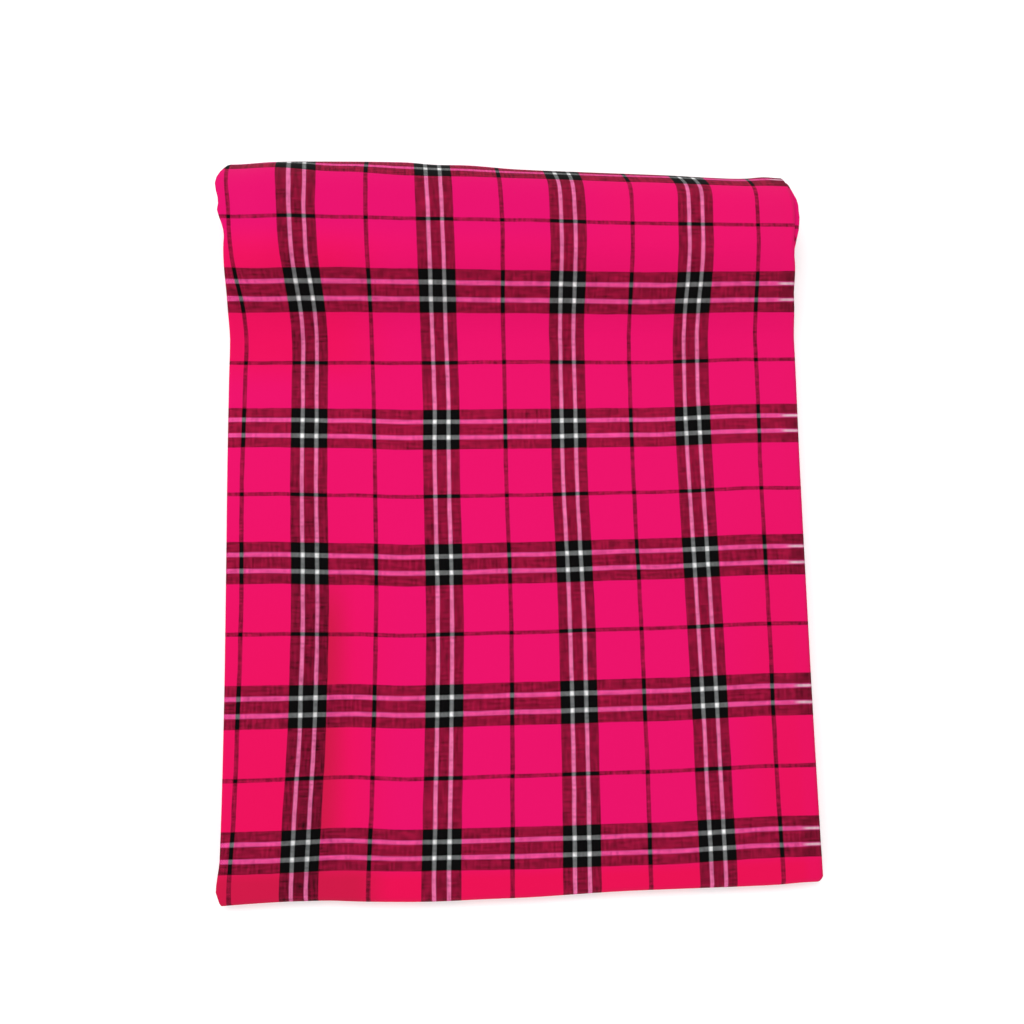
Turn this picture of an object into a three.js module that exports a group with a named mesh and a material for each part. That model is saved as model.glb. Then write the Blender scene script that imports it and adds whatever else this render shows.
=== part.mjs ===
import * as THREE from 'three';

// A woven check blanket (shuka), folded up and lying flat. Millimetres, +Z up.
// The one cloth is folded in three across its width, with the selvedge of its outer layer
// at +X. The strip of three layers is then folded in three along its length, with its
// first end tucked back on itself inside the thick, loose fold at +Y.

const { clamp, lerp, smoothstep } = THREE.MathUtils;

// Cloth and stack
const CLOTH = 1.3;
const LAYER_PITCH = 2.2;
const STRIP_PITCH = 3 * LAYER_PITCH;
const FIRST_MIDDLE = CLOTH / 2 + LAYER_PITCH;

// The thick fold at +Y: where its slope starts and ends, and how its layers part there
const RISE_START = 160;
const RISE_END = 242;
const LOOSENING = 0.8;
const NOSE_DEPTH = 38;

// Strips of three layers: height of the middle layer where the stack lies flat and where it
// is raised, the side that the outer layer faces, and how far the strip's edges are set in.
const STRIPS = {
  tuck: { flat: FIRST_MIDDLE + STRIP_PITCH, raised: 19.5, outer: 1, inset: 5 },
  inner: { flat: FIRST_MIDDLE + STRIP_PITCH, raised: 36, outer: -1, inset: 3 },
  face: { flat: FIRST_MIDDLE + 2 * STRIP_PITCH, raised: 54.3, outer: 1, inset: 0 },
  base: {
    flat: FIRST_MIDDLE,
    raised: CLOTH / 2 + LAYER_PITCH * (1 + LOOSENING),
    outer: -1,
    inset: 1.5,
  },
};
const SELVEDGE_STEP = 4;

// Side edges of the stack: the fold at -X, the outer layer's selvedge at +X and the fold of
// the layers below it, which stands out past the selvedge where the stack is raised.
const SIDE_EDGES = [
  { y: -324, left: -252.6, selvedge: 252.4, under: 250.9 },
  { y: -317, left: -252.2, selvedge: 252.3, under: 250.7 },
  { y: -310, left: -254.5, selvedge: 252.3, under: 250.5 },
  { y: -300, left: -253.6, selvedge: 252.2, under: 250.2 },
  { y: -285, left: -251.9, selvedge: 252.0, under: 249.8 },
  { y: -165, left: -252.0, selvedge: 253.2, under: 250.9 },
  { y: -60, left: -253.5, selvedge: 254.8, under: 252.2 },
  { y: 50, left: -255.4, selvedge: 256.8, under: 254.0 },
  { y: 160, left: -256.7, selvedge: 259.5, under: 256.8 },
  { y: 186, left: -257.6, selvedge: 258.7, under: 257.2 },
  { y: 205, left: -257.3, selvedge: 255.8, under: 255.6 },
  { y: 222, left: -257.4, selvedge: 255.0, under: 255.0 },
  { y: 236, left: -257.3, selvedge: 253.8, under: 253.8 },
  { y: 248, left: -257.0, selvedge: 254.9, under: 256.6 },
  { y: 256, left: -258.8, selvedge: 255.8, under: 258.9 },
  { y: 262, left: -260.8, selvedge: 256.2, under: 259.9 },
  { y: 269, left: -263.6, selvedge: 256.8, under: 260.8 },
  { y: 277, left: -263.0, selvedge: 257.0, under: 260.4 },
  { y: 285, left: -264.0, selvedge: 256.8, under: 260.6 },
  { y: 293, left: -266.6, selvedge: 255.2, under: 258.4 },
  { y: 300, left: -266.6, selvedge: 254.0, under: 257.0 },
  { y: 306, left: -264.8, selvedge: 253.0, under: 256.5 },
  { y: 313, left: -261.5, selvedge: 253.0, under: 256.0 },
  { y: 322, left: -258.0, selvedge: 253.0, under: 255.5 },
  { y: 330, left: -257.0, selvedge: 253.0, under: 255.5 },
];

// The two fold lines across the stack, from its -X side to its +X side
const FOLD_LINES = [
  { x: -258, foot: -322.4, crest: 326.2 },
  { x: -230, foot: -321.2, crest: 326.3 },
  { x: -195, foot: -320.6, crest: 327.4 },
  { x: -100, foot: -323.8, crest: 327.8 },
  { x: -70, foot: -324.1, crest: 325.7 },
  { x: -38, foot: -323.6, crest: 325.4 },
  { x: 5, foot: -323.2, crest: 322.2 },
  { x: 80, foot: -320.9, crest: 319.7 },
  { x: 150, foot: -320.3, crest: 317.7 },
  { x: 190, foot: -320.0, crest: 315.8 },
  { x: 222, foot: -319.5, crest: 315.4 },
  { x: 242, foot: -318.4, crest: 318.6 },
  { x: 258, foot: -318.0, crest: 318.6 },
];
const HALF_WIDTH = 258;

// How the stack's height swells and sinks, as shares of its height: soft hollows with their
// middle, half lengths and depth. The first is the long crease beside the first wide band.
const HOLLOWS = [
  { x: -160, y: -180, halfX: 20, halfY: 190, lean: 0.06, depth: 0.1 },
  { x: -243, y: 172, halfX: 34, halfY: 34, lean: 0, depth: 0.12 },
  { x: 120, y: -230, halfX: 120, halfY: 90, lean: 0, depth: 0.05 },
  { x: 20, y: 20, halfX: 150, halfY: 130, lean: 0, depth: -0.05 },
];
const FOOT_DROOP = { length: 34, depth: 0.1 };
const SIDE_SAG = { length: 40, depth: 0.1 };

// Grid: shares of a layer's width, and places along the stack from foot turn to nose turn
const WIDTH_SHARES = [0, 0.05, 0.13, 0.19, 0.25, 0.4, 0.56, 0.72, 0.87, 0.96, 1];
const STATIONS = [-316.3, -292, -230, -140, -45, 50, 125, 165, 188, 208, 228, 238, 250, 262, 273, 283];
const TUCK_STATION = 10;
const SIDE_TURN_STEPS = 4;

// The route along the cloth's length: runs in a strip between two stations, and turns
const NOSE = STATIONS.length - 1;
const ROUTE = [
  { kind: 'run', strip: 'tuck', first: TUCK_STATION, last: NOSE },
  { kind: 'turn', from: 'tuck', to: 'inner', end: NOSE, side: 1, steps: 5 },
  { kind: 'run', strip: 'inner', first: NOSE, last: 0 },
  { kind: 'turn', from: 'inner', to: 'face', end: 0, side: -1, steps: 6 },
  { kind: 'run', strip: 'face', first: 0, last: NOSE },
  { kind: 'turn', from: 'face', to: 'base', end: NOSE, side: 1, steps: 9 },
  { kind: 'run', strip: 'base', first: NOSE, last: 0 },
];

// The route across the cloth's width: three layers joined by two side turns. A layer's
// level counts layer pitches from the middle layer towards the outer one.
const LAYERS = [
  { kind: 'layer', level: -1, reversed: false },
  { kind: 'turn', level: -0.5, side: 1 },
  { kind: 'layer', level: 0, reversed: true },
  { kind: 'turn', level: 0.5, side: -1 },
  { kind: 'layer', level: 1, reversed: false },
];

// Reads a column of a table between its rows along a smooth curve
function readTable(rows, key, at, column) {
  const last = rows.length - 2;
  let row = 0;
  while (row < last && at > rows[row + 1][key]) {
    row += 1;
  }
  const before = rows[Math.max(row - 1, 0)];
  const here = rows[row];
  const next = rows[row + 1];
  const after = rows[Math.min(row + 2, rows.length - 1)];
  const span = next[key] - here[key];
  const share = clamp((at - here[key]) / span, 0, 1);
  const slopeHere = span * (next[column] - before[column]) / (next[key] - before[key]);
  const slopeNext = span * (after[column] - here[column]) / (after[key] - here[key]);
  const change = next[column] - here[column];
  const bend = (1 - share) * (slopeHere - change) - share * (slopeNext - change);
  return here[column] + share * change + share * (1 - share) * bend;
}

const raisedShare = (y) => smoothstep(y, RISE_START, RISE_END);

// Height of the stack at a place, as a share of its plain height
function swell(x, y) {
  let share = 1;
  for (const hollow of HOLLOWS) {
    const acrossIt = (x - hollow.x - hollow.lean * (y - hollow.y)) / hollow.halfX;
    const alongIt = (y - hollow.y) / hollow.halfY;
    share -= hollow.depth * Math.exp(-(acrossIt ** 2) - alongIt ** 4);
  }
  const foot = readTable(FOLD_LINES, 'x', x, 'foot');
  share -= FOOT_DROOP.depth * (1 - smoothstep(y, foot, foot + FOOT_DROOP.length));
  const sideGap = HALF_WIDTH - Math.abs(x);
  share -= SIDE_SAG.depth * raisedShare(y) * (1 - smoothstep(sideGap, 0, SIDE_SAG.length));
  return share;
}

const layerPitch = (x, y) => LAYER_PITCH * (1 + LOOSENING * raisedShare(y)) * swell(x, y);

function middleHeight(strip, x, y) {
  const plain = lerp(strip.flat, strip.raised, raisedShare(y));
  return CLOTH / 2 + (plain - CLOTH / 2) * swell(x, y);
}

// Place of a station: the fold lines' unevenness fades from one end to the other
function stationY(x, index) {
  const footShift = readTable(FOLD_LINES, 'x', x, 'foot') - FOLD_LINES[0].foot;
  const crestShift = readTable(FOLD_LINES, 'x', x, 'crest') - FOLD_LINES[1].crest;
  const whole = Math.floor(Math.min(index, NOSE - 1));
  const plain = lerp(STATIONS[whole], STATIONS[whole + 1], index - whole);
  const share = (plain - STATIONS[0]) / (STATIONS[NOSE] - STATIONS[0]);
  return plain + lerp(footShift, crestShift, share);
}

// Edges of a layer, from -X to +X, in one strip at one place along the stack
function layerEdges(strip, y, layer) {
  const left = readTable(SIDE_EDGES, 'y', y, 'left') + strip.inset;
  const under = readTable(SIDE_EDGES, 'y', y, 'under') - strip.inset;
  const shown = strip === STRIPS.face;
  const selvedge = shown ? readTable(SIDE_EDGES, 'y', y, 'selvedge') : under - SELVEDGE_STEP;
  return {
    left: layer.level < 0 ? left + SELVEDGE_STEP : left,
    right: layer.level > 0 ? selvedge : under,
  };
}

// Where a share of the way along a route part lies: its y, the middle layer's height,
// and the direction in which the outer layer is set off from the middle one
function alongAt(part, share, x) {
  if (part.kind === 'run') {
    const y = stationY(x, lerp(part.first, part.last, share));
    const strip = STRIPS[part.strip];
    return { y, z: middleHeight(strip, x, y), out: [0, strip.outer], from: strip, to: strip, share };
  }
  const from = STRIPS[part.from];
  const to = STRIPS[part.to];
  const centre = stationY(x, part.end);
  const low = middleHeight(from, x, centre);
  const high = middleHeight(to, x, centre);
  const turn = Math.PI * share;
  const outside = -from.outer * Math.sign(high - low);
  const depth = part.to === 'base' ? NOSE_DEPTH : Math.abs(high - low) / 2;
  return {
    y: centre + part.side * depth * Math.sin(turn),
    z: (low + high) / 2 - (high - low) / 2 * Math.cos(turn),
    out: [part.side * outside * Math.sin(turn), from.outer * Math.cos(turn)],
    from,
    to,
    share,
  };
}

// Point of the cloth's middle surface, at shares of a width part and of a length part
function clothPoint(layer, widthShare, part, lengthShare) {
  const turned = layer.kind === 'turn';
  let across = widthShare;
  if (layer.reversed) {
    across = 1 - widthShare;
  }
  if (turned) {
    across = layer.side > 0 ? 1 : 0;
  }
  const nominalX = lerp(-HALF_WIDTH, HALF_WIDTH, across);
  const along = alongAt(part, lengthShare, nominalX);
  const gap = layerPitch(nominalX, along.y);
  const edgeLayer = turned ? { level: 0 } : layer;
  const first = layerEdges(along.from, along.y, edgeLayer);
  const second = layerEdges(along.to, along.y, edgeLayer);
  const radius = gap / 2;
  const left = lerp(first.left, second.left, along.share) + radius;
  const right = lerp(first.right, second.right, along.share) - radius;
  let x = lerp(left, right, across);
  let level = layer.level;
  if (turned) {
    x += layer.side * radius * Math.sin(Math.PI * widthShare);
    level -= 0.5 * Math.cos(Math.PI * widthShare);
  }
  const [outY, outZ] = along.out;
  return new THREE.Vector3(x, along.y + outY * level * gap, along.z + outZ * level * gap);
}

// The surface's direction, from small steps both ways
function clothNormal(layer, widthShare, part, lengthShare) {
  const step = 1e-3;
  const point = (w, l) => clothPoint(layer, clamp(w, 0, 1), part, clamp(l, 0, 1));
  const acrossWay = point(widthShare + step, lengthShare).sub(point(widthShare - step, lengthShare));
  const alongWay = point(widthShare, lengthShare + step).sub(point(widthShare, lengthShare - step));
  return acrossWay.cross(alongWay).normalize();
}

// Grid lines across the width, one entry each, with the part that it belongs to
function widthLines() {
  const lines = [];
  for (const layer of LAYERS) {
    const shares = layer.kind === 'layer'
      ? WIDTH_SHARES.map((share) => (layer.reversed ? 1 - share : share)).sort((a, b) => a - b)
      : Array.from({ length: SIDE_TURN_STEPS + 1 }, (_, i) => i / SIDE_TURN_STEPS);
    lines.push(...shares.slice(lines.length ? 1 : 0).map((share) => ({ layer, share })));
  }
  return lines;
}

function lengthLines() {
  const lines = [];
  for (const part of ROUTE) {
    const steps = part.kind === 'run' ? Math.abs(part.last - part.first) : part.steps;
    for (let i = lines.length ? 1 : 0; i <= steps; i += 1) {
      lines.push({ part, share: i / steps });
    }
  }
  return lines;
}

// One closed body: the two faces of the cloth and its four cut edges
function clothGeometry() {
  const across = widthLines();
  const along = lengthLines();
  const columns = across.length;
  const rows = along.length;
  const positions = [];
  for (const side of [1, -1]) {
    for (const line of along) {
      for (const column of across) {
        const point = clothPoint(column.layer, column.share, line.part, line.share);
        const normal = clothNormal(column.layer, column.share, line.part, line.share);
        point.addScaledVector(normal, side * CLOTH / 2);
        positions.push(point.x, point.y, point.z);
      }
    }
  }
  const triangles = [];
  const top = (row, column) => row * columns + column;
  const under = (row, column) => rows * columns + top(row, column);
  for (let row = 0; row < rows - 1; row += 1) {
    for (let column = 0; column < columns - 1; column += 1) {
      const corners = [[row, column], [row, column + 1], [row + 1, column + 1], [row + 1, column]];
      const part = along[row + 1].part;
      const backwards = part.kind === 'run' && part.last < part.first;
      const turned = Boolean(across[column + 1].layer.reversed) !== backwards;
      const order = turned ? [1, 2, 3, 0] : [0, 1, 2, 3];
      const [a, b, c, d] = order.map((i) => corners[i]);
      triangles.push(top(...a), top(...b), top(...c), top(...a), top(...c), top(...d));
      triangles.push(under(...a), under(...c), under(...b), under(...a), under(...d), under(...c));
    }
  }
  const edge = [];
  for (let column = 0; column < columns - 1; column += 1) {
    edge.push([0, column]);
  }
  for (let row = 0; row < rows - 1; row += 1) {
    edge.push([row, columns - 1]);
  }
  for (let column = columns - 1; column > 0; column -= 1) {
    edge.push([rows - 1, column]);
  }
  for (let row = rows - 1; row > 0; row -= 1) {
    edge.push([row, 0]);
  }
  edge.forEach((here, i) => {
    const next = edge[(i + 1) % edge.length];
    triangles.push(top(...here), under(...here), under(...next));
    triangles.push(top(...here), under(...next), top(...next));
  });
  const geometry = new THREE.BufferGeometry();
  geometry.setAttribute('position', new THREE.Float32BufferAttribute(positions, 3));
  geometry.setIndex(triangles);
  return geometry;
}

// The origin is in the middle of the stack's outline, on the surface that it lies on
function centred(geometry) {
  geometry.computeBoundingBox();
  const { min, max } = geometry.boundingBox;
  geometry.translate(-(min.x + max.x) / 2, -(min.y + max.y) / 2, 0);
  return geometry;
}

const woven = new THREE.MeshStandardMaterial({ color: 0xe8196a, roughness: 0.9, metalness: 0 });

const cloth = new THREE.Mesh(centred(clothGeometry()), woven);
cloth.name = 'shuka_cloth';

const group = new THREE.Group();
group.add(cloth);

export default group;
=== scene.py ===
# %% [markdown]
# A folded check blanket
#
# The object is one woven cloth, about a metre and a half wide and two metres long. It is folded
# in three across its width and then in three along its length, with a short end tucked in, and
# lies flat with a thick, loose fold at its far end. This lesson makes it as one thin sheet that
# follows every fold, and gives that sheet a woven check made of shader nodes. First the packed
# model is loaded. It sets the size and the place of all that follows.

# %% Load the frame
import math

import bpy
import numpy as np
from mathutils import Color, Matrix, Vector


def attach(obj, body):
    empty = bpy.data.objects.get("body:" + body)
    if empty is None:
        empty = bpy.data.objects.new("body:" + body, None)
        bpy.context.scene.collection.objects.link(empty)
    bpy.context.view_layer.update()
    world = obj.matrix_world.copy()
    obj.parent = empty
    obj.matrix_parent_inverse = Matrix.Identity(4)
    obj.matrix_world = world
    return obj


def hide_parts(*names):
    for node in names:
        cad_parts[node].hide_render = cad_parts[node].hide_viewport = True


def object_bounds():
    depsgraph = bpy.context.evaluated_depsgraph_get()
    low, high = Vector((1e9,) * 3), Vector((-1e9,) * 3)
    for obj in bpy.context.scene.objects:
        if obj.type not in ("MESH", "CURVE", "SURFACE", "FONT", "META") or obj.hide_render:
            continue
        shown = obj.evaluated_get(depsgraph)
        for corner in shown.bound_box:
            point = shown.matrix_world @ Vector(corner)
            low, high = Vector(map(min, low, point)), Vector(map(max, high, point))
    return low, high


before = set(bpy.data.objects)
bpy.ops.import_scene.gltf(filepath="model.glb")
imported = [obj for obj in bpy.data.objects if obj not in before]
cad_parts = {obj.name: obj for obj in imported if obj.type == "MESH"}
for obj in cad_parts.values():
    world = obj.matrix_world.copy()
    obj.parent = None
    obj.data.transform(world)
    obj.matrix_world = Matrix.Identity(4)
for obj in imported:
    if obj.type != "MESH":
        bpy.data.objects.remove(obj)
cad_low, cad_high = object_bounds()
NODE = "shuka_cloth"
MM = 0.001
size_mm = [round((high - low) / MM, 1) for low, high in zip(cad_low, cad_high)]
print("folded stack, millimetres:", size_mm)

# %% [markdown]
# The stack's own measures
#
# A cloth has no corners to measure from, so its shape is described as a maker would pin it down:
# where the side edges run, where the two fold lines lie, how thick a layer is, and where the
# stack swells. Typing hundreds of points would be another way, but a few short tables read
# through a smooth curve are easier to change and always give a smooth cloth. The lengths are
# millimetres and, apart from the thickness of the cloth itself, the same as in the solid model.
# The loosening of the layers and the depth of each hollow are shares of a height.

# %% Measures of the stack
CLOTH = 1.0
SOLID_CLOTH = 1.3
LAYER_PITCH = 2.2
STRIP_PITCH = 3 * LAYER_PITCH
FIRST_MIDDLE = SOLID_CLOTH / 2 + LAYER_PITCH
RISE_START = 160
RISE_END = 242
LOOSENING = 0.8
NOSE_DEPTH = 38
HALF_WIDTH = 258
SELVEDGE_STEP = 4

SIDE_EDGES = {
    "y": (
        -324, -317, -310, -300, -285, -165, -60, 50, 160,
        186, 205, 222, 236, 248, 256, 262, 269, 277,
        285, 293, 300, 306, 313, 322, 330,
    ),
    "left": (
        -252.6, -252.2, -254.5, -253.6, -251.9, -252, -253.5, -255.4, -256.7,
        -257.6, -257.3, -257.4, -257.3, -257, -258.8, -260.8, -263.6, -263,
        -264, -266.6, -266.6, -264.8, -261.5, -258, -257,
    ),
    "selvedge": (
        252.4, 252.3, 252.3, 252.2, 252, 253.2, 254.8, 256.8, 259.5,
        258.7, 255.8, 255, 253.8, 254.9, 255.8, 256.2, 256.8, 257,
        256.8, 255.2, 254, 253, 253, 253, 253,
    ),
    "under": (
        250.9, 250.7, 250.5, 250.2, 249.8, 250.9, 252.2, 254, 256.8,
        257.2, 255.6, 255, 253.8, 256.6, 258.9, 259.9, 260.8, 260.4,
        260.6, 258.4, 257, 256.5, 256, 255.5, 255.5,
    ),
}
FOLD_LINES = {
    "x": (-258, -230, -195, -100, -70, -38, 5, 80, 150, 190, 222, 242, 258),
    "foot": (
        -322.4, -321.2, -320.6, -323.8, -324.1, -323.6, -323.2,
        -320.9, -320.3, -320, -319.5, -318.4, -318,
    ),
    "crest": (
        326.2, 326.3, 327.4, 327.8, 325.7, 325.4, 322.2,
        319.7, 317.7, 315.8, 315.4, 318.6, 318.6,
    ),
}
STRIPS = {
    "tuck": {"flat": FIRST_MIDDLE + STRIP_PITCH, "raised": 19.5, "outer": 1, "inset": 5},
    "inner": {"flat": FIRST_MIDDLE + STRIP_PITCH, "raised": 36, "outer": -1, "inset": 3},
    "face": {"flat": FIRST_MIDDLE + 2 * STRIP_PITCH, "raised": 54.3, "outer": 1, "inset": 0},
    "base": {
        "flat": FIRST_MIDDLE,
        "raised": SOLID_CLOTH / 2 + LAYER_PITCH * (1 + LOOSENING),
        "outer": -1,
        "inset": 1.5,
    },
}
HOLLOWS = (
    {"x": -160, "y": -180, "half_x": 20, "half_y": 190, "lean": 0.06, "depth": 0.1},
    {"x": -243, "y": 172, "half_x": 34, "half_y": 34, "lean": 0, "depth": 0.12},
    {"x": 120, "y": -230, "half_x": 120, "half_y": 90, "lean": 0, "depth": 0.05},
    {"x": 20, "y": 20, "half_x": 150, "half_y": 130, "lean": 0, "depth": -0.05},
)
FOOT_DROOP = {"length": 34, "depth": 0.1}
SIDE_SAG = {"length": 40, "depth": 0.1}
LAYER_COUNT = 9
flat_height = (LAYER_COUNT - 1) * LAYER_PITCH + SOLID_CLOTH
print("flat part:", LAYER_COUNT, "layers, together", round(flat_height, 1), "mm high")

# %% [markdown]
# Reading the tables
#
# Three helpers do all the reading. One eases from 0 to 1 between two places, as a ramp with soft
# ends. One goes from a first value to a second by a share. The third draws a smooth curve through
# the rows of a table. A straight line from row to row would be simpler, but it leaves a kink at
# each row, which shows as a crease in the light.

# %% Helpers for smooth reading
def ease(value, start, end):
    share = np.clip((value - start) / (end - start), 0, 1)
    return share * share * (3 - 2 * share)


def blend(first, second, share):
    return first + (second - first) * share


def read_table(table, key, at, column):
    places, values = np.array(table[key], float), np.array(table[column], float)
    count = len(places)
    row = np.clip(np.searchsorted(places, at, side="left") - 1, 0, count - 2)
    before, after = np.maximum(row - 1, 0), np.minimum(row + 2, count - 1)
    span = places[row + 1] - places[row]
    share = np.clip((at - places[row]) / span, 0, 1)
    slope_here = span * (values[row + 1] - values[before]) / (places[row + 1] - places[before])
    slope_next = span * (values[after] - values[row]) / (places[after] - places[row])
    change = values[row + 1] - values[row]
    bend = (1 - share) * (slope_here - change) - share * (slope_next - change)
    return values[row] + share * change + share * (1 - share) * bend


left_edge = float(read_table(SIDE_EDGES, "y", 0.0, "left"))
print("the left edge at mid length, mm:", round(left_edge, 1))

# %% [markdown]
# How high the stack lies
#
# Where the cloth lies flat, its layers are a little over two millimetres apart. At the far end
# they are raised and loosened, because a thick fold springs open. One share, from 0 to 1, drives
# both. A second share lets the whole stack sink in soft hollows, at the front fold and at the
# sides of the thick fold. It scales the heights of all layers alike, so they never pass through
# each other.

# %% Height of the stack
def raised_share(y):
    return ease(y, RISE_START, RISE_END)


def swell(x, y):
    share = np.ones(np.broadcast(x, y).shape)
    for hollow in HOLLOWS:
        across_it = (x - hollow["x"] - hollow["lean"] * (y - hollow["y"])) / hollow["half_x"]
        along_it = (y - hollow["y"]) / hollow["half_y"]
        share = share - hollow["depth"] * np.exp(-(across_it**2) - along_it**4)
    foot = read_table(FOLD_LINES, "x", x, "foot")
    share = share - FOOT_DROOP["depth"] * (1 - ease(y, foot, foot + FOOT_DROOP["length"]))
    side_gap = HALF_WIDTH - np.abs(x)
    sag = SIDE_SAG["depth"] * (1 - ease(side_gap, 0, SIDE_SAG["length"]))
    return share - sag * raised_share(y)


def layer_pitch(x, y):
    return LAYER_PITCH * (1 + LOOSENING * raised_share(y)) * swell(x, y)


def middle_height(strip, x, y):
    plain = blend(strip["flat"], strip["raised"], raised_share(y))
    return SOLID_CLOTH / 2 + (plain - SOLID_CLOTH / 2) * swell(x, y)


face_flat, face_raised = STRIPS["face"]["flat"], STRIPS["face"]["raised"]
print("top strip's middle layer: flat", face_flat, "mm, raised", face_raised, "mm")

# %% [markdown]
# The route through the stack
#
# A folded cloth is still one rectangle. Going along its length it runs inside a strip, turns
# round a fold, and runs back in the next strip. Going across its width it does the same through
# three layers. So any point of the rectangle has one place in the stack, and one function can
# find it. A cloth simulation could fold a flat sheet too, but twelve layers in contact are slow
# and never land just as the photograph shows them, so the folds are worked out instead.

# %% Where a fraction of the length lies
FOOT_Y, NOSE_Y, TUCK_Y = -316.3, 283, 228
ROUTE = (
    {"kind": "run", "strip": "tuck", "from_y": TUCK_Y, "to_y": NOSE_Y, "rows": 5},
    {"kind": "turn", "from": "tuck", "to": "inner", "at_y": NOSE_Y, "side": 1, "rows": 8},
    {"kind": "run", "strip": "inner", "from_y": NOSE_Y, "to_y": FOOT_Y, "rows": 24},
    {"kind": "turn", "from": "inner", "to": "face", "at_y": FOOT_Y, "side": -1, "rows": 10},
    {"kind": "run", "strip": "face", "from_y": FOOT_Y, "to_y": NOSE_Y, "rows": 96},
    {"kind": "turn", "from": "face", "to": "base", "at_y": NOSE_Y, "side": 1, "rows": 18},
    {"kind": "run", "strip": "base", "from_y": NOSE_Y, "to_y": FOOT_Y, "rows": 24},
)


def uneven_y(x, plain):
    foot_shift = read_table(FOLD_LINES, "x", x, "foot") - FOLD_LINES["foot"][0]
    crest_shift = read_table(FOLD_LINES, "x", x, "crest") - FOLD_LINES["crest"][1]
    return plain + blend(foot_shift, crest_shift, (plain - FOOT_Y) / (NOSE_Y - FOOT_Y))


def along_at(part, share, x):
    if part["kind"] == "run":
        y = uneven_y(x, blend(part["from_y"], part["to_y"], share))
        strip = STRIPS[part["strip"]]
        return y, middle_height(strip, x, y), 0.0, float(strip["outer"]), strip, strip
    start, end = STRIPS[part["from"]], STRIPS[part["to"]]
    centre = uneven_y(x, part["at_y"])
    first, second = middle_height(start, x, centre), middle_height(end, x, centre)
    turn = math.pi * share
    outside = -start["outer"] * np.sign(second - first)
    depth = NOSE_DEPTH if part["to"] == "base" else np.abs(second - first) / 2
    y = centre + part["side"] * depth * math.sin(turn)
    z = (first + second) / 2 - (second - first) / 2 * math.cos(turn)
    out_y = part["side"] * outside * math.sin(turn)
    return y, z, out_y, start["outer"] * math.cos(turn), start, end


print("parts of the route along the cloth:", len(ROUTE))

# %% [markdown]
# Across the width
#
# The outer layer ends in a selvedge on the right, and the fold of the two layers below it stands
# out a little past that selvedge near the thick end, as in the photograph. The grid lines are
# close together in the outer layer, which shows, and wide apart in the layers under it.

# %% Where a fraction of the width lies
LAYERS = (
    {"kind": "layer", "level": -1, "reversed": False, "columns": 26},
    {"kind": "turn", "level": -0.5, "side": 1, "columns": 8},
    {"kind": "layer", "level": 0, "reversed": True, "columns": 26},
    {"kind": "turn", "level": 0.5, "side": -1, "columns": 8},
    {"kind": "layer", "level": 1, "reversed": False, "columns": 130},
)
SHOWN_LAYER, SHOWN_RUN = LAYERS[4], ROUTE[4]
NORMAL_STEP = 1e-3


def layer_edges(strip, y, level):
    left = read_table(SIDE_EDGES, "y", y, "left") + strip["inset"]
    under = read_table(SIDE_EDGES, "y", y, "under") - strip["inset"]
    shown = strip is STRIPS["face"]
    selvedge = read_table(SIDE_EDGES, "y", y, "selvedge") if shown else under - SELVEDGE_STEP
    return (left + SELVEDGE_STEP if level < 0 else left), (selvedge if level > 0 else under)


def cloth_point(layer, width_share, part, length_share):
    turned = layer["kind"] == "turn"
    if turned:
        across = np.full(width_share.shape, 1.0 if layer["side"] > 0 else 0.0)
    else:
        across = 1 - width_share if layer["reversed"] else width_share
    nominal = blend(-HALF_WIDTH, HALF_WIDTH, across)
    y, z, out_y, out_z, start, end = along_at(part, length_share, nominal)
    gap = layer_pitch(nominal, y)
    edge_level = 0 if turned else layer["level"]
    first = layer_edges(start, y, edge_level)
    second = layer_edges(end, y, edge_level)
    left = blend(first[0], second[0], length_share) + gap / 2
    right = blend(first[1], second[1], length_share) - gap / 2
    x = blend(left, right, across)
    level = np.full(x.shape, float(layer["level"]))
    if turned:
        x = x + layer["side"] * gap / 2 * np.sin(math.pi * width_share)
        level = level - 0.5 * np.cos(math.pi * width_share)
    return np.stack([x, y + out_y * level * gap, z + out_z * level * gap], axis=-1)


def cloth_normal(layer, width_share, part, length_share):
    both_ways = (NORMAL_STEP, -NORMAL_STEP)
    wide = [np.clip(width_share + step, 0, 1) for step in both_ways]
    long = [min(max(length_share + step, 0.0), 1.0) for step in both_ways]
    across = np.subtract(*[cloth_point(layer, share, part, length_share) for share in wide])
    along = np.subtract(*[cloth_point(layer, width_share, part, share) for share in long])
    normal = np.cross(across, along)
    return normal / np.linalg.norm(normal, axis=-1, keepdims=True)


corner = cloth_point(SHOWN_LAYER, np.array([1.0]), SHOWN_RUN, 0.0)[0]
print("selvedge at the foot of the top layer, mm:", np.round(corner, 1))

# %% [markdown]
# Points of the sheet and where they lie on the cloth
#
# The grid of points is worked out row by row. At the same time each point gets its place on the
# flat cloth: how far it is across, counted from the fold at the left of a straight-edged stack,
# and how far along from the middle of the shown face. Both are measured on the surface itself,
# from point to point, as a tape laid on the cloth would. The check pattern reads those two
# numbers, so it runs round every fold without stretching, as a woven pattern must.

# %% Grid lines and points
CROWDING = 0.06


def crowded(share, layer):
    if layer["kind"] == "turn":
        return share
    if layer is SHOWN_LAYER:
        return share - CROWDING * math.sin(2 * math.pi * share) / (2 * math.pi)
    return 0.5 - 0.5 * math.cos(math.pi * share)


def grid_lines(parts, counted):
    lines = []
    for part in parts:
        count = part[counted]
        first = 1 if lines else 0
        lines += [(part, i / count) for i in range(first, count + 1)]
    return lines


even_columns = grid_lines(LAYERS, "columns")
across_lines = [(layer, crowded(share, layer)) for layer, share in even_columns]
along_lines = grid_lines(ROUTE, "rows")
columns, rows = len(across_lines), len(along_lines)


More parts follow.
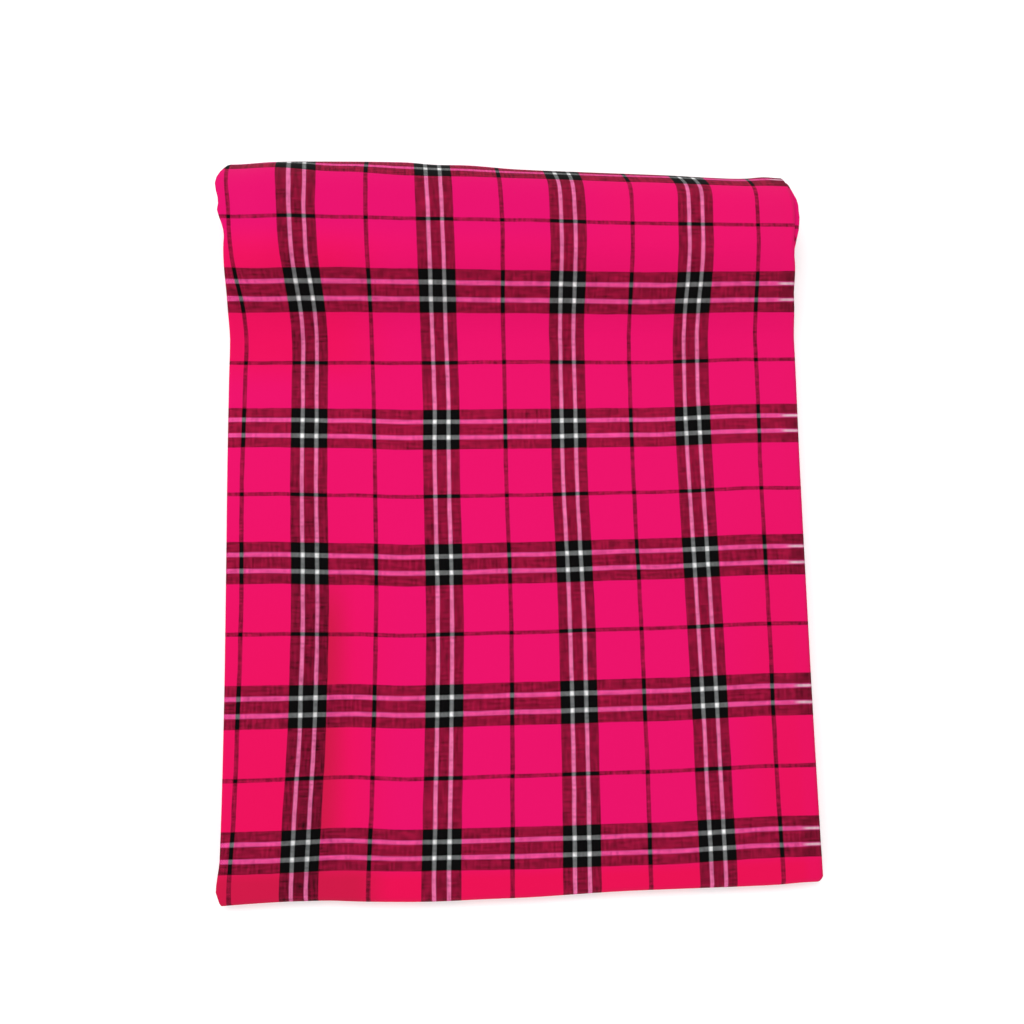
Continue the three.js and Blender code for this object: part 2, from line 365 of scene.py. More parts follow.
def sheet_rows(read):
    grid = np.zeros((rows, columns, 3))
    for layer in LAYERS:
        picked = [i for i, line in enumerate(across_lines) if line[0] is layer]
        shares = np.array([across_lines[i][1] for i in picked])
        for row, (part, share) in enumerate(along_lines):
            grid[row, picked] = read(layer, shares, part, share)
    return grid


middle = sheet_rows(cloth_point)
normals = sheet_rows(cloth_normal)
raw_low, raw_high = middle.min((0, 1)), middle.max((0, 1))
print("grid of", rows, "by", columns, "points spans", np.round(raw_high - raw_low, 1), "mm")

# %% Places on the flat cloth
OUTER = [i for i, line in enumerate(across_lines) if line[0] is SHOWN_LAYER]
FACE = [i for i, line in enumerate(along_lines) if line[0] is SHOWN_RUN]
MIDDLE_PLACE = 254


def tape(points, axis):
    steps = np.linalg.norm(np.diff(points, axis=axis), axis=2)
    start = np.zeros_like(np.take(steps, [0], axis=axis))
    return np.concatenate([start, np.cumsum(steps, axis=axis)], axis=axis)


across_mm, along_mm = tape(middle, 1), tape(middle, 0)
for row in range(rows):
    across_mm[row] += MIDDLE_PLACE - np.interp(0.0, middle[row, OUTER, 0], across_mm[row, OUTER])
for column in range(columns):
    face_y = middle[FACE, column, 1]
    along_mm[:, column] -= np.interp(0.0, face_y, along_mm[FACE, column])

# %% [markdown]
# Where the check drifts
#
# On the real blanket the check doesn't run quite straight: it is pulled left as it climbs the
# thick fold, bows a little from side to side, and lies slack over the rise. That is a drift of
# the pattern over the shape, of a few millimetres. A painted picture could show it, but here it
# is a small table of how far each part of the check has slipped, in millimetres. Past the fold
# at the left the slip grows to forty, which brings plain ground to the sliver of the layer that
# stands out under the selvedge.

# %% Drift of the check over the face
HIDDEN_SLIP = 40
HIDDEN_PLACE = -480
DRIFT_ACROSS = {
    "y": (-307, -247, -190, -84, 32, 110, 175, 224, 250, 271, 296, 310, 324),
    "edge": (-3.6, -1.1, -0.2, 0.4, -2.0, -1.6, -2.6, -9.5, -12.8, -14.0, -16.9, -18.0, -18.3),
    "band": (-5.0, -2.8, 0.0, 1.3, -1.4, -1.9, -3.0, -7.7, -9.3, -10.7, -10.6, -11.3, -12.8),
    "first": (-5.2, -2.9, -1.6, 0.3, -1.3, -3.0, -5.2, -6.1, -6.9, -7.5, -7.9, -8.0, -8.0),
    "second": (-2.5, -1.1, 0.5, 2.0, 0.2, 0.1, -1.6, -2.8, -3.4, -4.0, -5.2, -6.0, -7.0),
    "third": (-0.2, 0.8, 1.3, 1.4, -0.9, -0.4, -0.1, -0.5, -0.2, -0.4, -1.2, -3.6, -5.6),
    "fourth": (0.5, 0.1, 0.2, -1.0, -2.4, -2.5, -0.6, -0.5, -0.2, 0.5, 0.6, -4.0, -7.4),
    "selvedge": (-1.9, -2.7, -2.4, -1.0, -0.3, 1.7, 2.2, -1.1, -0.9, -0.4, -0.4, -4.4, -7.4),
}
ACROSS_PLACES = {
    "edge": 13, "band": 70, "first": 128, "second": 185,
    "third": 300, "fourth": 415, "selvedge": 473,
}
DRIFT_ALONG = {
    "along": (-340, -300, -262, -162, -41, 80, 142, 207, 270, 300, 316, 332, 360),
    "left": (0.5, 2.9, 0.4, -1.4, 1.1, 1.1, 0.7, 7.3, 12.9, 18.0, 20.5, 24.5, 26.0),
    "crease": (1.9, 3.7, 1.5, -1.2, -0.7, 0.0, 0.6, 7.3, 11.6, 15.5, 16.0, 16.0, 16.5),
    "before": (0.2, 1.6, -1.8, -3.4, -2.8, -1.7, 0.2, 6.7, 10.7, 12.5, 11.9, 12.3, 13.0),
    "middle": (-0.2, 0.5, -1.8, -2.5, -1.7, -1.4, 1.2, 5.9, 10.0, 11.6, 11.5, 9.0, 9.5),
    "after": (0.8, 0.8, -1.2, -1.4, 0.3, -0.3, 0.7, 5.1, 8.0, 9.0, 9.3, 8.8, 9.5),
    "right": (4.7, 3.9, 1.3, 0.9, 3.2, 3.3, 3.7, 7.0, 7.5, 7.0, 7.4, 8.5, 10.0),
}
ALONG_PLACES = {
    "left": -220, "crease": -152, "before": -95,
    "middle": 0, "after": 110, "right": 220,
}


def slip_at(table, key, at, places, value):
    slip, before = None, None
    for name, place in places.items():
        named = read_table(table, key, at, name)
        slip = named if slip is None else blend(slip, named, ease(value, before, place))
        before = place
    return slip


def drift_across(across, y):
    shown = slip_at(DRIFT_ACROSS, "y", y, ACROSS_PLACES, across)
    return blend(HIDDEN_SLIP, shown, ease(across, HIDDEN_PLACE, ACROSS_PLACES["edge"]))


def drift_along(along, x):
    return slip_at(DRIFT_ALONG, "along", along, ALONG_PLACES, x)


check_across = across_mm - drift_across(across_mm, middle[..., 1])
check_along = along_mm - drift_along(along_mm, middle[..., 0])
print("largest slip across, mm:", round(float(np.abs(check_across - across_mm).max()), 1))

# %% [markdown]
# From the grid to a closed cloth
#
# A single layer of faces would do for a picture, but it has no thickness at the selvedge, where
# the eye looks for it. A Solidify modifier could add the thickness, and here the two faces are
# built straight from the grid and its normals instead, because the points then keep their
# places on the cloth. Four narrow strips close the edges.

# %% The mesh of the cloth
def grid_quads(first, flip):
    cells = np.arange((rows - 1) * columns).reshape(rows - 1, columns)[:, :-1] + first
    corners = [cells, cells + 1, cells + columns + 1, cells + columns]
    if flip:
        corners.reverse()
    return np.stack([c.ravel() for c in corners], axis=1)


def rim_points():
    bottom = [(0, c) for c in range(columns - 1)]
    right = [(r, columns - 1) for r in range(rows - 1)]
    top = [(rows - 1, c) for c in range(columns - 1, 0, -1)]
    left = [(r, 0) for r in range(rows - 1, 0, -1)]
    return bottom + right + top + left


def add_object(name, data):
    made = bpy.data.objects.new(name, data)
    bpy.context.collection.objects.link(made)
    return made


cad_centre = (Vector(cad_low) + Vector(cad_high)) / 2
raw_centre = (raw_low + raw_high) / 2
shift = np.array([cad_centre.x, cad_centre.y, 0]) / MM - np.array([*raw_centre[:2], 0])
layer_points = rows * columns
front = (middle + normals * CLOTH / 2 + shift) * MM
back = (middle - normals * CLOTH / 2 + shift) * MM
rim = [r * columns + c for r, c in rim_points()]
rim_next = rim[1:] + rim[:1]
rim_quads = [(a, a + layer_points, b + layer_points, b) for a, b in zip(rim, rim_next)]
quads = np.concatenate([grid_quads(0, False), grid_quads(layer_points, True), rim_quads])

cloth_mesh = bpy.data.meshes.new("shuka")
points = np.concatenate([front.reshape(-1, 3), back.reshape(-1, 3)])
cloth_mesh.from_pydata(points.tolist(), [], quads.tolist())
cloth_mesh.shade_smooth()
cloth = add_object("shuka", cloth_mesh)
print("cloth faces:", len(cloth_mesh.polygons), "thickness, mm:", CLOTH)

# %% [markdown]
# Carrying the places on the cloth to the shader
#
# A material can ask a mesh for any number stored at its points. Three are stored here, in
# metres: the place across, the place along, and the distance to the nearer selvedge, where the
# weave of the real cloth is denser. This is what lets one woven pattern follow twelve layers.

# %% Places as a point attribute
selvedge_mm = np.minimum(across_mm - across_mm[:, [0]], across_mm[:, [-1]] - across_mm)
places = np.stack([check_across, check_along, selvedge_mm], axis=-1) * MM
weave_place = cloth_mesh.attributes.new("weave_place", "FLOAT_VECTOR", "POINT")
both_sides = np.concatenate([places.reshape(-1, 3)] * 2).astype(np.float32)
weave_place.data.foreach_set("vector", both_sides.ravel())
print("places stored for", len(weave_place.data), "points")

# %% [markdown]
# A flat layout for baking
#
# When the material is later baked to a picture, each face needs its own patch of that picture.
# The grid is already a rectangle, so its rows and columns are the layout. The shown face, the
# folds at its ends and the lowest strip get most of the room, and the layers hidden in the stack
# very little. A small margin keeps the patches apart.

# %% Layout of the faces
HIDDEN_SHARE = 0.16
BACK_STRIP = 0.14
RIM_STRIP = 0.01
GRID_MARGIN = 0.002
RIM_MARGIN = 0.003
RIM_END_MARGIN = 0.005
SHOWN_PARTS = ROUTE[3:]


def spread(steps, shown):
    weights = np.where(shown, steps, steps * HIDDEN_SHARE)
    total = np.concatenate([[0], np.cumsum(weights)])
    return total / total[-1]


def fit(share, start, room, margin):
    return start + margin + share * (room - 2 * margin)


column_steps = np.diff(across_mm.mean(axis=0))
row_steps = np.diff(along_mm[:, OUTER].mean(axis=1))
u_line = spread(column_steps, [line[0] is SHOWN_LAYER for line in across_lines[1:]])
v_line = spread(row_steps, [line[0] in SHOWN_PARTS for line in along_lines[1:]])
u_grid, v_grid = np.meshgrid(u_line, fit(v_line, 0, 1, GRID_MARGIN))
front_room = 1 - BACK_STRIP - RIM_STRIP
front_uv = np.stack([fit(u_grid, 0, front_room, GRID_MARGIN), v_grid], axis=-1)
back_uv = np.stack([fit(u_grid, front_room, BACK_STRIP, GRID_MARGIN), v_grid], axis=-1)
uv_points = np.concatenate([front_uv.reshape(-1, 2), back_uv.reshape(-1, 2)])
rim_count = len(rim)
rim_v = fit(np.linspace(0, 1, rim_count + 1), 0, 1, RIM_END_MARGIN)
rim_low, rim_high = [fit(share, 1 - RIM_STRIP, RIM_STRIP, RIM_MARGIN) for share in (0, 1)]
rim_uv = np.array([
    ((rim_low, start), (rim_high, start), (rim_high, end), (rim_low, end))
    for start, end in zip(rim_v[:-1], rim_v[1:])
])
grid_uv = uv_points[quads[:-rim_count]]
layout = cloth_mesh.uv_layers.new(name="OFBake")
loop_uv = np.concatenate([grid_uv.ravel(), rim_uv.ravel()])
layout.data.foreach_set("uv", loop_uv.astype(np.float32))
print("layout columns for the shown layer:", round(float(u_line[-1] - u_line[OUTER[0]]), 2))

# %% [markdown]
# The yarns of the check
#
# A check cloth needs only three yarns, pink, near black and white, laid in the same order in
# both directions. Where two yarns of one colour cross, the cloth has that colour, and where
# they differ it shows a mix of both. The mixes are written down as they look on the real cloth,
# because dyed cotton lets its neighbour shine through and never mixes quite evenly. The table
# has a row for each warp yarn, which runs along the cloth, and a column for each weft yarn. All
# colours are made a little deeper than they look, since the studio light lifts them again.

# %% Colours where yarns cross
DYE_DEPTH = 0.87


def srgb(red, green, blue):
    seen = Color((red / 255, green / 255, blue / 255))
    return (*[c * DYE_DEPTH for c in seen.from_srgb_to_scene_linear()], 1.0)


CROSSINGS = {
    "pink": {"pink": srgb(238, 12, 107), "dark": srgb(137, 13, 46), "white": srgb(238, 17, 144)},
    "dark": {"pink": srgb(130, 12, 44), "dark": srgb(2, 2, 2), "white": srgb(88, 92, 92)},
    "white": {
        "pink": srgb(240, 96, 166),
        "dark": srgb(100, 104, 104),
        "white": srgb(255, 255, 255),
    },
}
# The next three pinks paint light and shade: the warm and the deep one are painted shade, the
# cool one a painted highlight.
SHADED_PINK = srgb(240, 10, 80)
LIT_PINK = srgb(231, 9, 110)
CREASE_SHADE_PINK = srgb(206, 22, 64)
YARNS = {"pink": srgb(236, 12, 103), "dark": srgb(6, 3, 5), "white": srgb(252, 250, 250)}
print("yarns:", list(YARNS), "and their crossings:", sum(len(row) for row in CROSSINGS.values()))

# %% [markdown]
# The widths of the check
#
# The widths are millimetres on the flat cloth. They could be counted in yarns, as a weaver
# does, but a photograph gives them as lengths. The light and thin lines are a little uneven in
# depth, and each depth below is the least and the most of the yarn that shows.

# %% Widths and depths
REPEAT = {"across": 115.0, "along": 120.33}
FIRST_BAND = {"across": 70.8, "along": 200.0}
BAND_HALF = {"across": 16.1, "along": 18.1}
LIGHT_OFFSET = {"across": 6.15, "along": 7.1}
LIGHT_HALF = {"across": 1.65, "along": 1.95}
THIN_HALF = {"across": 1.85, "along": 1.7}
THIN_DEPTH = {"across": (0.8, 0.98), "along": (0.7, 0.98)}
LIGHT_DEPTH = (0.72, 1.0)
print("the check repeats every", REPEAT["across"], "by", REPEAT["along"], "mm")

# %% [markdown]
# A few words for wiring shader nodes
#
# Long chains of nodes are hard to read when each one takes four lines. So a small writer class
# keeps the node tree and offers the few steps that a weave needs: a sum, a ramp between two
# values, a mix of two colours, noise, and the shader itself. Each of the first four returns the
# socket that the next step reads. A Mix node has a set of sockets for each kind of value, all
# with the same names, so its sockets for colours are picked by number.

# %% A small writer for nodes
class Wiring:
    MIX_SHARE, MIX_FIRST, MIX_SECOND, MIX_COLOUR = 0, 6, 7, 2

    def __init__(self, material):
        material.use_nodes = True
        self.tree = material.node_tree
        self.tree.nodes.clear()

    def add(self, kind, **settings):
        node = self.tree.nodes.new(kind)
        for name, value in settings.items():
            setattr(node, name, value)
        return node

    def feed(self, socket, value):
        if isinstance(value, bpy.types.NodeSocket):
            self.tree.links.new(value, socket)
        else:
            socket.default_value = value

    def fill(self, node, values):
        for name, value in values.items():
            self.feed(node.inputs[name], value)
        return node

    def math(self, step, *values):
        node = self.add("ShaderNodeMath", operation=step)
        for socket, value in zip(node.inputs, values):
            self.feed(socket, value)
        return node.outputs[0]

    def ramp(self, value, low, high, start=0.0, end=1.0):
        node = self.add("ShaderNodeMapRange", interpolation_type="SMOOTHSTEP")
        limits = {"From Min": low, "From Max": high, "To Min": start, "To Max": end}
        return self.fill(node, {"Value": value, **limits}).outputs["Result"]

    def mix(self, share, first, second):
        node = self.add("ShaderNodeMix", data_type="RGBA")
        self.feed(node.inputs[self.MIX_SHARE], share)
        self.feed(node.inputs[self.MIX_FIRST], first)
        self.feed(node.inputs[self.MIX_SECOND], second)
        return node.outputs[self.MIX_COLOUR]

    def noise(self, place, grain, detail, roughness=0.5):
        stretched = self.add("ShaderNodeVectorMath", operation="MULTIPLY")
        self.feed(stretched.inputs[0], place)
        self.feed(stretched.inputs[1], grain)
        node = self.add("ShaderNodeTexNoise", noise_dimensions="3D")
        settings = {"Scale": 1.0, "Detail": detail, "Roughness": roughness}
        return self.fill(node, {"Vector": stretched.outputs[0], **settings}).outputs[0]

    def shade(self, finish):
        shader = self.fill(self.add("ShaderNodeBsdfPrincipled"), finish)
        self.fill(self.add("ShaderNodeOutputMaterial"), {"Surface": shader.outputs[0]})


woven = bpy.data.materials.new("woven_check")
wire = Wiring(woven)
stored = {"attribute_type": "GEOMETRY", "attribute_name": "weave_place"}
place = wire.add("ShaderNodeAttribute", **stored).outputs["Vector"]
split_place = wire.fill(wire.add("ShaderNodeSeparateXYZ"), {"Vector": place})
across, along, from_selvedge = split_place.outputs
print("the weave reads:", [socket.name for socket in split_place.outputs])

# %% [markdown]
# Which yarn lies where
#
# The distance from the middle of the nearest band says which yarn is used. A band has three dark
# stripes with two light lines between them, and one thin dark line runs halfway between bands.
# Each edge is a short ramp rather than a step, nearly a yarn wide, and it wanders a little,
# because hand-fed yarns never lie quite straight.

# %% Stripes of the check
EDGE = 0.45
MOTTLE_DETAIL = 3.0
MOTTLE_RANGE = (0.3, 0.7)


def both(first, second):
    return wire.math("MULTIPLY", first, second)


def either(first, second):
    return wire.math("MAXIMUM", first, second)


def band_distance(value, way):
    period = REPEAT[way] * MM
    half_on = 0.5 - FIRST_BAND[way] / REPEAT[way]
    fraction = wire.math("FRACT", wire.math("ADD", wire.math("DIVIDE", value, period), half_on))
    return both(wire.math("ABSOLUTE", wire.math("SUBTRACT", fraction, 0.5)), period)


def inside(distance, centre, half):
    away = wire.math("ABSOLUTE", wire.math("SUBTRACT", distance, centre * MM))
    return wire.ramp(away, (half - EDGE) * MM, (half + EDGE) * MM, 1.0, 0.0)


def yarn_shares(value, way):
    distance = band_distance(value, way)
    band = inside(distance, 0.0, BAND_HALF[way])
    light = inside(distance, LIGHT_OFFSET[way], LIGHT_HALF[way])
    thin = inside(distance, REPEAT[way] / 2, THIN_HALF[way])
    return band, thin, light


def mottled(grain, depth):
    return wire.ramp(wire.noise(place, grain, MOTTLE_DETAIL), *MOTTLE_RANGE, *depth)


print("each stripe's edge is soft over", 2 * EDGE, "mm")

# %% Yarn shares across and along
WANDER = 1.3
WANDER_DETAIL = 3.0
WANDER_GRAIN = {"across": (60.0, 25.0, 0.0), "along": (25.0, 60.0, 0.0)}
WARP_GRAIN, WEFT_GRAIN = (160.0, 420.0, 0.0), (420.0, 160.0, 0.0)


def wandering(value, way):
    shake = wire.math("SUBTRACT", wire.noise(place, WANDER_GRAIN[way], WANDER_DETAIL), 0.5)
    return wire.math("MULTIPLY_ADD", shake, WANDER * MM, value)


across_seen, along_seen = wandering(across, "across"), wandering(along, "along")
warp_band, warp_thin, warp_light = yarn_shares(across_seen, "across")
weft_band, weft_thin, weft_light = yarn_shares(along_seen, "along")
warp_white = both(warp_light, mottled(WARP_GRAIN, LIGHT_DEPTH))
weft_white = both(weft_light, mottled(WEFT_GRAIN, LIGHT_DEPTH))
warp_depth = either(mottled(WARP_GRAIN, THIN_DEPTH["across"]), either(weft_band, weft_thin))
weft_depth = either(mottled(WEFT_GRAIN, THIN_DEPTH["along"]), either(warp_band, warp_thin))
warp_dark = either(warp_band, both(warp_thin, warp_depth))
weft_dark = either(weft_band, both(weft_thin, weft_depth))
print("yarn shares are read from", len(wire.tree.nodes), "nodes")

# %% [markdown]
# The weave itself
#
# In plain weave each yarn passes over one neighbour and under the next, so the cloth is a tiny
# checkerboard of warp and weft. Seen close, the yarn on top shows its own colour. Seen from a
# step away, only the mix is left. Streaks along the yarns stand for thick and thin places in
# the spinning, which give the dark bands of the photograph their mottled look. Both could be
# painted, but two waves and two noises stay sharp from close by and never repeat.

# %% Yarns on top and streaks
YARN = 1.05
TURN_EDGE = 0.15
STREAK_DETAIL = 4.0
STREAK_ROUGHNESS = 0.65
STREAK_GRAINS = ((520.0, 60.0, 0.0), (60.0, 520.0, 0.0))


def yarn_turns(value):
    return wire.math("SINE", both(value, math.pi / (YARN * MM)))


warp_turns, weft_turns = yarn_turns(across), yarn_turns(along)
warp_on_top = wire.ramp(both(warp_turns, weft_turns), -TURN_EDGE, TURN_EDGE)
streaks = [wire.noise(place, grain, STREAK_DETAIL, STREAK_ROUGHNESS) for grain in STREAK_GRAINS]
streak = wire.math("ADD", *streaks)
print("yarn pitch, mm:", YARN)

# %% [markdown]
# Painted light and shade on the ground
#
# The pink carries painted light and shade. It is a little cooler on top of the thick fold, a
# painted highlight where that face meets the light. It is warmer towards the sides and the front
# fold, painted shade where the cloth slopes away from the light. It is deeper in the long crease
# beside the first wide band and at the left end of the front fold, painted shade where light has
# first bounced off other red cloth. More lamps could show part of this, but they would also light
# the floor. So each patch is a product of soft ramps over the places on the cloth, from no patch
# at the first number of a pair to a full one at the second, in metres. Only the crease's pair
# across is different: it is the middle and the half width of a soft strip.

# %% Painted light and shade on the ground
FACE_END = (-0.37, -0.345)
CREASE = {"across": (0.084, 0.029), "along": (-0.03, -0.1)}
FOOT = {"across": (0.15, 0.115), "along": (-0.288, -0.308)}
SIDES = {"left": (0.16, 0.09), "right": (0.40, 0.49), "along": (0.1, -0.28)}
RISE = {"low": (0.11, 0.15), "high": (0.26, 0.22)}
FOLD_TOP = {"across": (0.36, 0.28), "low": (0.23, 0.26), "high": (0.42, 0.37)}
LIT_ROW = {"low": (0.0, 0.06), "high": (0.14, 0.10)}
SIDE_SHARE = 0.7
RISE_SHARE = 0.65
on_face = wire.ramp(along, *FACE_END)
crease_middle, crease_half = CREASE["across"]
from_crease = wire.math("ABSOLUTE", wire.math("SUBTRACT", across, crease_middle))
in_crease = both(wire.ramp(from_crease, crease_half, 0.0), wire.ramp(along, *CREASE["along"]))
at_foot = both(on_face, wire.ramp(along, *FOOT["along"]))
at_left = wire.ramp(across, *SIDES["left"])
near_edge = either(at_left, wire.ramp(across, *SIDES["right"]))
low_sides = both(near_edge, wire.ramp(along, *SIDES["along"], 0.0, SIDE_SHARE))
on_rise = both(wire.ramp(along, *RISE["low"]), wire.ramp(along, *RISE["high"], 0.0, RISE_SHARE))
fold_top = both(wire.ramp(along, *FOLD_TOP["low"]), wire.ramp(along, *FOLD_TOP["high"]))
# Painted light: the dark bands are drawn lighter in the row just before the rise.
painted_lit_row = both(wire.ramp(along, *LIT_ROW["low"]), wire.ramp(along, *LIT_ROW["high"]))
# Painted light: a cooler pink on top of the thick fold, which faces the light.
painted_light_on_fold = both(fold_top, wire.ramp(across, *FOLD_TOP["across"]))
# Painted shade: a warmer pink at the sides, at the foot and left of the rise.
painted_side_shade = either(at_foot, both(on_face, either(low_sides, both(at_left, on_rise))))
# Painted shade: a deeper pink in the crease and at the left of the front fold.
painted_crease_shade = either(both(on_face, in_crease), both(at_foot, wire.ramp(across, *FOOT["across"])))
print("nodes so far, with the patches:", len(wire.tree.nodes))

# %% [markdown]
# Mixing the colour
#
# The table of crossings is read here, row by row, with the uneven ground and its painted light
# and shade in the place of its plain pink. A small share of the yarn that lies on top is then
# mixed in. The dark bands also get their streaks and painted shade and light: they are a little
# dimmer in the painted shade of the warm and deep places and in the band at the left, and lighter
# with painted light just before the rise of the thick fold. The light lines take less of this.

# %% Colour of the weave
TOP_SHARE = 0.15


def crossing_row(warp, over_pink):
    cells = CROSSINGS[warp]
    return wire.mix(weft_white, wire.mix(weft_dark, over_pink, cells["dark"]), cells["white"])


def yarn_colour(dark, white):
    return wire.mix(white, wire.mix(dark, YARNS["pink"], YARNS["dark"]), YARNS["white"])


# The ground pink, with painted light on the fold top and painted shade at the sides, foot and
# crease.
ground_with_painted_light = wire.mix(painted_light_on_fold, CROSSINGS["pink"]["pink"], LIT_PINK)
ground = wire.mix(painted_crease_shade, wire.mix(painted_side_shade, ground_with_painted_light, SHADED_PINK), CREASE_SHADE_PINK)
pink_row = crossing_row("pink", ground)
dark_row = crossing_row("dark", CROSSINGS["dark"]["pink"])
white_row = crossing_row("white", CROSSINGS["white"]["pink"])
mixed = wire.mix(warp_white, wire.mix(warp_dark, pink_row, dark_row), white_row)
warp_colour = yarn_colour(warp_dark, warp_white)
weft_colour = yarn_colour(weft_dark, weft_white)
top_yarn = wire.mix(warp_on_top, weft_colour, warp_colour)
woven_colour = wire.mix(TOP_SHARE, mixed, top_yarn)
print("share of the yarn on top:", TOP_SHARE)

# %% Streaks, painted shade and painted light in the dark bands
UNEVEN_DYE = 2.4
LIGHT_COVER = 0.7
# Painted shade darkens the dark bands in the warm and deep patches and the left band, and painted
# light brightens the row before the rise.
PAINTED_LIGHT_AND_SHADE = (
    (painted_side_shade, -0.08),
    (painted_crease_shade, -0.18),
    (both(at_left, warp_band), -0.12),
    (painted_lit_row, 0.14),
)
any_light = either(warp_white, weft_white)
dark_only = wire.math("SUBTRACT", either(warp_dark, weft_dark), both(any_light, LIGHT_COVER))
streak_and_shade_offset = both(wire.math("SUBTRACT", streak, 1.0), UNEVEN_DYE)
for patch, gain in PAINTED_LIGHT_AND_SHADE:
    streak_and_shade_offset = wire.math("MULTIPLY_ADD", patch, gain, streak_and_shade_offset)
slub_and_painted_shade = wire.math("MULTIPLY_ADD", streak_and_shade_offset, dark_only, 1.0)
print("patches that change the dark bands:", len(PAINTED_LIGHT_AND_SHADE))

# %% [markdown]
# The selvedge
#
# Near the selvedge the weft is beaten closer, so its own colour shows more, and the white yarns
# of the light lines come to the top. A separate strip of mesh could carry that, but on the real
# cloth the change is gradual, so it is one more ramp, over the distance to the selvedge. The
# streaks then scale the colour as a whole.

# %% Colour near the selvedge
SELVEDGE_FADE = (0.009, 0.018)
SELVEDGE_DARK = 0.3
SELVEDGE_LIGHT = 0.45
LIGHT_CORE = 1.0
at_selvedge = wire.ramp(from_selvedge, *SELVEDGE_FADE, 1.0, 0.0)
core = inside(band_distance(along_seen, "along"), LIGHT_OFFSET["along"], LIGHT_CORE)
denser = wire.mix(both(at_selvedge, SELVEDGE_DARK), woven_colour, yarn_colour(weft_dark, 0.0))
finished = wire.mix(both(both(at_selvedge, core), SELVEDGE_LIGHT), denser, YARNS["white"])
shaded = wire.add("ShaderNodeVectorMath", operation="SCALE")
wire.feed(shaded.inputs[0], finished)
wire.feed(shaded.inputs["Scale"], slub_and_painted_shade)
print("the weave is denser within", SELVEDGE_FADE[1] / MM, "mm of the selvedge")

# %% [markdown]
# The finish of brushed cotton
#
# Each yarn stands up as a small round ridge, and the ends of its fibres catch the light where
# the cloth is seen at a slant. The ridges are a bump of about a tenth of a millimetre, since
# real geometry for a million crossings would be far too heavy. The fibres are the sheen of the
# shader. Cotton has next to no gloss, so the surface is rough and hardly reflects.

# %% Relief and finish
STREAK_RELIEF = 0.6
RIDGES = {"Strength": 0.5, "Distance": 0.12 * MM}
COTTON = {
    "Roughness": 0.92,
    "Specular IOR Level": 0.05,
    "Sheen Weight": 0.03,
    "Sheen Roughness": 0.6,
}
dome = both(wire.math("ABSOLUTE", warp_turns), wire.math("ABSOLUTE", weft_turns))
relief = wire.math("MULTIPLY_ADD", streak, STREAK_RELIEF, dome)
bump = wire.fill(wire.add("ShaderNodeBump"), {"Height": relief, **RIDGES})
wire.shade({"Base Color": shaded.outputs[0], "Normal": bump.outputs[0], **COTTON})
cloth_mesh.materials.append(woven)
print("material nodes:", len(wire.tree.nodes))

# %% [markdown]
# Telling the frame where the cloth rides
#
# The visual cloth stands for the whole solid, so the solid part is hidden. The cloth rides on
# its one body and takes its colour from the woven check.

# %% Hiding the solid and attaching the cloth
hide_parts(NODE)
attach(cloth, "root")

# %% [markdown]
# A pale floor
#
# The photograph shows the cloth on plain white, with only a soft shadow below its near edge. A
# wide pale floor gives that shadow, with a faint glow, as of a lit studio table. A curved
# backdrop isn't needed, since the camera looks almost straight down.

# %% Floor
FLOOR_HALF = 3.0
FLOOR_FINISH = {
    "Base Color": (0.95, 0.95, 0.95, 1.0),
    "Emission Color": (1.0, 1.0, 1.0, 1.0),
    "Emission Strength": 0.15,
    "Roughness": 1.0,
    "Specular IOR Level": 0.0,
}
floor_mesh = bpy.data.meshes.new("floor")
turns_round = ((-1, -1), (1, -1), (1, 1), (-1, 1))
corners = [(FLOOR_HALF * x, FLOOR_HALF * y, 0) for x, y in turns_round]
floor_mesh.from_pydata(corners, [], [(0, 1, 2, 3)])
floor = add_object("floor", floor_mesh)
pale_floor = bpy.data.materials.new("pale_floor")
Wiring(pale_floor).shade(FLOOR_FINISH)
floor_mesh.materials.append(pale_floor)
print("floor, metres:", 2 * FLOOR_HALF)

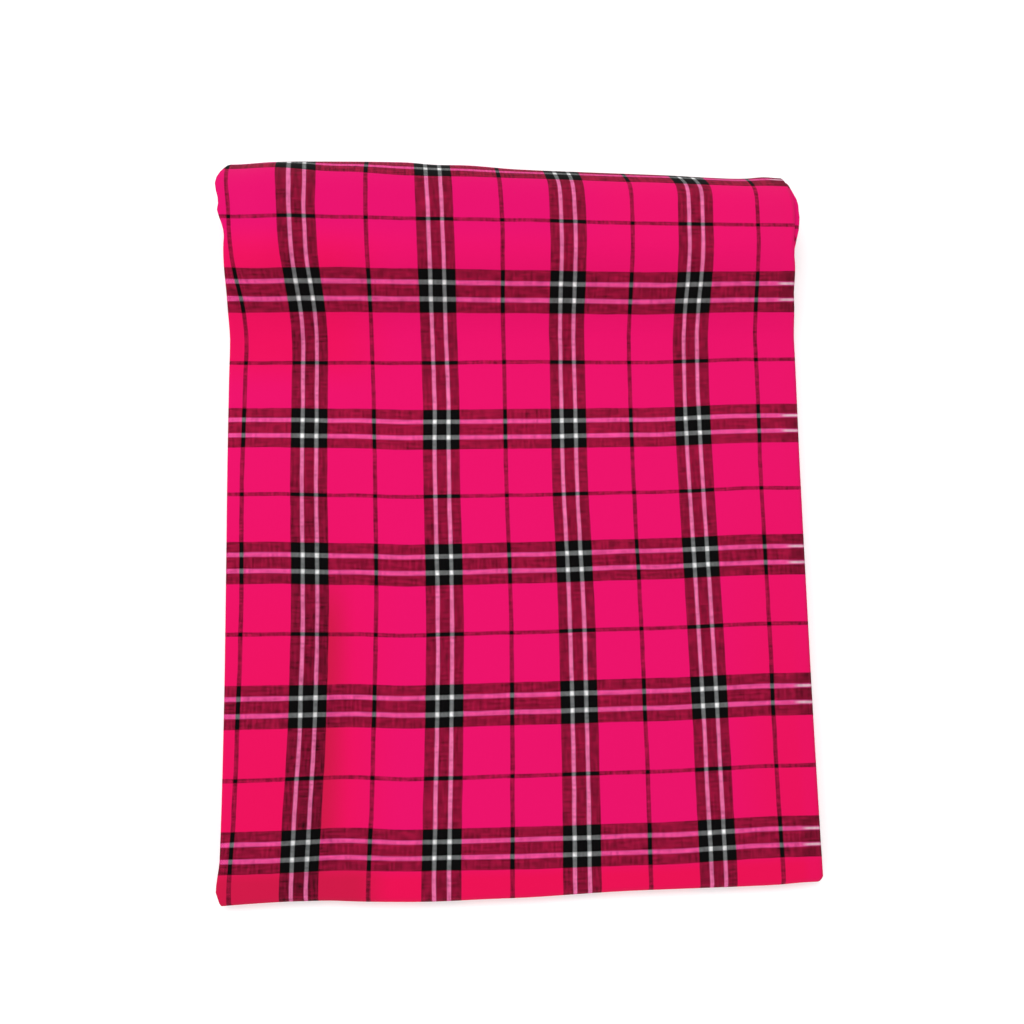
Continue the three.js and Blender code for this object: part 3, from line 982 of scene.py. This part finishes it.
# %% [markdown]
# Studio light
#
# The far face of the thick fold is bright and its near slope a little darker, so the main light
# stands behind the far end. It is a large soft panel, because the shadows have no hard edge.
# An even pale sky fills the rest, as the white room of a studio does. Colours are shown plainly,
# without a film curve, since such a curve would wash out the strong pink of the dye.

# %% Lights
PANELS = {
    "main_panel": {"place": (-0.4, 1.1, 2.8), "size": (1.4, 1.0), "power": 28},
    "side_panel": {"place": (-1.8, -0.4, 2.2), "size": (1.2, 1.2), "power": 10},
}
SKY = {"Color": (1, 1, 1, 1), "Strength": 0.8}


def add_panel(name, place, size, power):
    light = bpy.data.lights.new(name, "AREA")
    light.shape = "RECTANGLE"
    light.size, light.size_y = size
    light.energy = power
    lamp = add_object(name, light)
    lamp.location = place
    lamp.rotation_euler = (-Vector(place)).to_track_quat("-Z", "Y").to_euler()
    return lamp


lamps = [add_panel(name, **panel) for name, panel in PANELS.items()]
world = bpy.data.worlds.new("studio")
world.use_nodes = True
for name, value in SKY.items():
    world.node_tree.nodes["Background"].inputs[name].default_value = value
bpy.context.scene.world = world
bpy.context.scene.view_settings.view_transform = "Standard"
print("lamps:", [lamp.name for lamp in lamps])

# %% [markdown]
# The camera of the photograph
#
# The photograph was taken from about nine tenths of a metre above the cloth, leaning ten degrees
# from straight down. The place and the lens were found by matching the outline and the lines of
# the check, and are written here as plain numbers. The place and the lens are in millimetres,
# and the turn is in radians.

# %% Camera
CAMERA_PLACE = (-58.9, -149.7, 887.4)
CAMERA_TURN = (0.1736, -0.0603, -0.0195)
LENS = 35.156
SENSOR_WIDTH = 36.0
NEAREST = 0.01
camera_data = bpy.data.cameras.new("photo_camera")
camera_data.lens = LENS
camera_data.sensor_width = SENSOR_WIDTH
camera_data.clip_start = NEAREST
camera = add_object("photo_camera", camera_data)
camera.location = Vector(CAMERA_PLACE + shift) * MM
camera.rotation_mode = "ZXY"
camera.rotation_euler = CAMERA_TURN
bpy.context.scene.camera = camera
print("camera, metres:", [round(c, 3) for c in camera.location])
